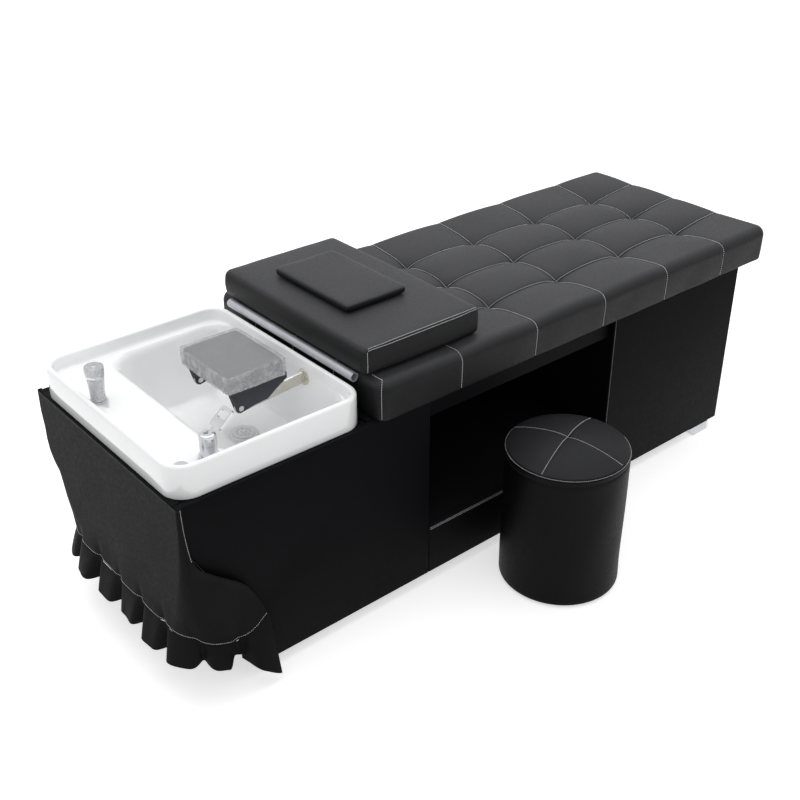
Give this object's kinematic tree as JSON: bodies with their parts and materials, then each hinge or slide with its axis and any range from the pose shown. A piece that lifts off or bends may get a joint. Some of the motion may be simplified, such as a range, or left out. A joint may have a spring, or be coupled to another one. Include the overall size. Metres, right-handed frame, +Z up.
{
  "type": "hair washing bed",
  "caption": "Black leather hair washing bed: box base with a knee recess, white basin with tap, sprayer and tilting headrest, tufted cushion, pillows, gathered skirt and round stool.",
  "frame": {"origin": "on the floor, at the middle of the base's centre foot", "axes": "+X from the basin to the foot end, +Z up, -Y towards the side with the recess"},
  "size_m": [1.9553, 0.9865, 0.7262],
  "materials": {
    "bed_leather": "black synthetic leather with a fine grain and pale stitching",
    "panel_leather": "black synthetic leather stretched over boards",
    "skirt_leather": "black synthetic leather, hanging and gathered",
    "headrest_leather": "black leather in clear film",
    "basin_white": "white gloss",
    "chrome": "polished chrome",
    "steel": "satin stainless steel",
    "black_steel": "black powder coat",
    "board_wood": "plain plywood",
    "rubber": "black rubber",
    "waste_plastic": "white moulded plastic",
    "nut_plastic": "grey moulded plastic",
    "tap_metal": "plain brass below the deck",
    "foot_plastic": "black moulded plastic",
    "trim_cord": "pale double stitching on a narrow edge strip",
    "roll_satin": "silver-grey satin"
  },
  "bodies": {
    "base": {"arm_studs": "steel", "back_panel": "panel_leather", "basin_rails": "board_wood", "bed_cushion": "bed_leather", "bed_deck": "board_wood", "bottle_trap": "waste_plastic", "bottom_board": "board_wood", "centre_foot": "foot_plastic", "chrome_feet": "chrome", "cold_inlet": "tap_metal", "corner_posts": "board_wood", "cushion_board": "board_wood", "deck_bearers": "board_wood", "drain_flange": "chrome", "drain_nut": "nut_plastic", "drain_washer": "rubber", "edge_roll": "roll_satin", "foot_cabinet_front": "panel_leather", "foot_divider": "panel_leather", "foot_end_panel": "panel_leather", "foot_screws": "steel", "front_head_panel": "panel_leather", "head_apron": "panel_leather", "head_divider": "panel_leather", "headrest_arm_back": "steel", "headrest_arm_front": "steel", "holder_nut": "nut_plastic", "hot_inlet": "tap_metal", "mixer_body": "chrome", "mixer_nut": "nut_plastic", "mixer_ring": "chrome", "recess_edge_trim": "trim_cord", "recess_fascia": "panel_leather", "recess_floor": "panel_leather", "skirt_panel": "skirt_leather", "skirt_ruffle": "skirt_leather", "sprayer_holder": "chrome", "tap_hole_cap": "chrome", "wash_basin": "basin_white", "waste_pipe": "waste_plastic"},
    "headrest": {"headrest_bracket_front": "black_steel", "headrest_bracket_back": "black_steel", "headrest_pins": "steel", "headrest_board": "board_wood", "headrest_cushion": "headrest_leather"},
    "mixer_cap": {"mixer_cap": "chrome", "lever_pin": "steel"},
    "mixer_lever": {"mixer_lever": "chrome"},
    "sprayer": {"sprayer_body": "chrome", "sprayer_face": "nut_plastic", "hose_nipple": "tap_metal"},
    "strainer": {"drain_strainer": "chrome"},
    "pillow": {"pillow": "bed_leather"},
    "small_pad": {"small_pad": "bed_leather"},
    "stool": {"stool_glides": "foot_plastic", "stool_base_board": "board_wood", "stool_drum": "panel_leather", "stool_top_board": "board_wood", "stool_cushion": "bed_leather"}
  },
  "joints": [
    {"name": "headrest_tilt", "type": "hinge", "parent": "base", "child": "headrest", "pos_m": [-0.6185, 0, 0.5475], "axis": [0, -1, 0], "range_deg": [0, 60]},
    {"name": "mixer_turn", "type": "hinge", "parent": "base", "child": "mixer_cap", "pos_m": [-0.7945, -0.248, 0.6054], "axis": [0, 0, 1], "range_deg": [-45, 45]},
    {"name": "lever_lift", "type": "hinge", "parent": "mixer_cap", "child": "mixer_lever", "pos_m": [-0.7945, -0.248, 0.6194], "axis": [0, -1, 0], "range_deg": [0, 22]},
    {"name": "sprayer_pull", "type": "slide", "parent": "base", "child": "sprayer", "axis": [0, 0, 1], "range_m": [0, 0.3]},
    {"name": "strainer_lift", "type": "slide", "parent": "base", "child": "strainer", "axis": [0, 0, 1], "range_m": [0, 0.15]},
    {"name": "pillow_lift", "type": "slide", "parent": "base", "child": "pillow", "axis": [0, 0, 1], "range_m": [0, 0.25]},
    {"name": "small_pad_lift", "type": "slide", "parent": "pillow", "child": "small_pad", "axis": [0, 0, 1], "range_m": [0, 0.25]},
    {"name": "stool_slide", "type": "slide", "parent": "base", "child": "stool", "axis": [0, -1, 0], "range_m": [0, 0.3]}
  ]
}
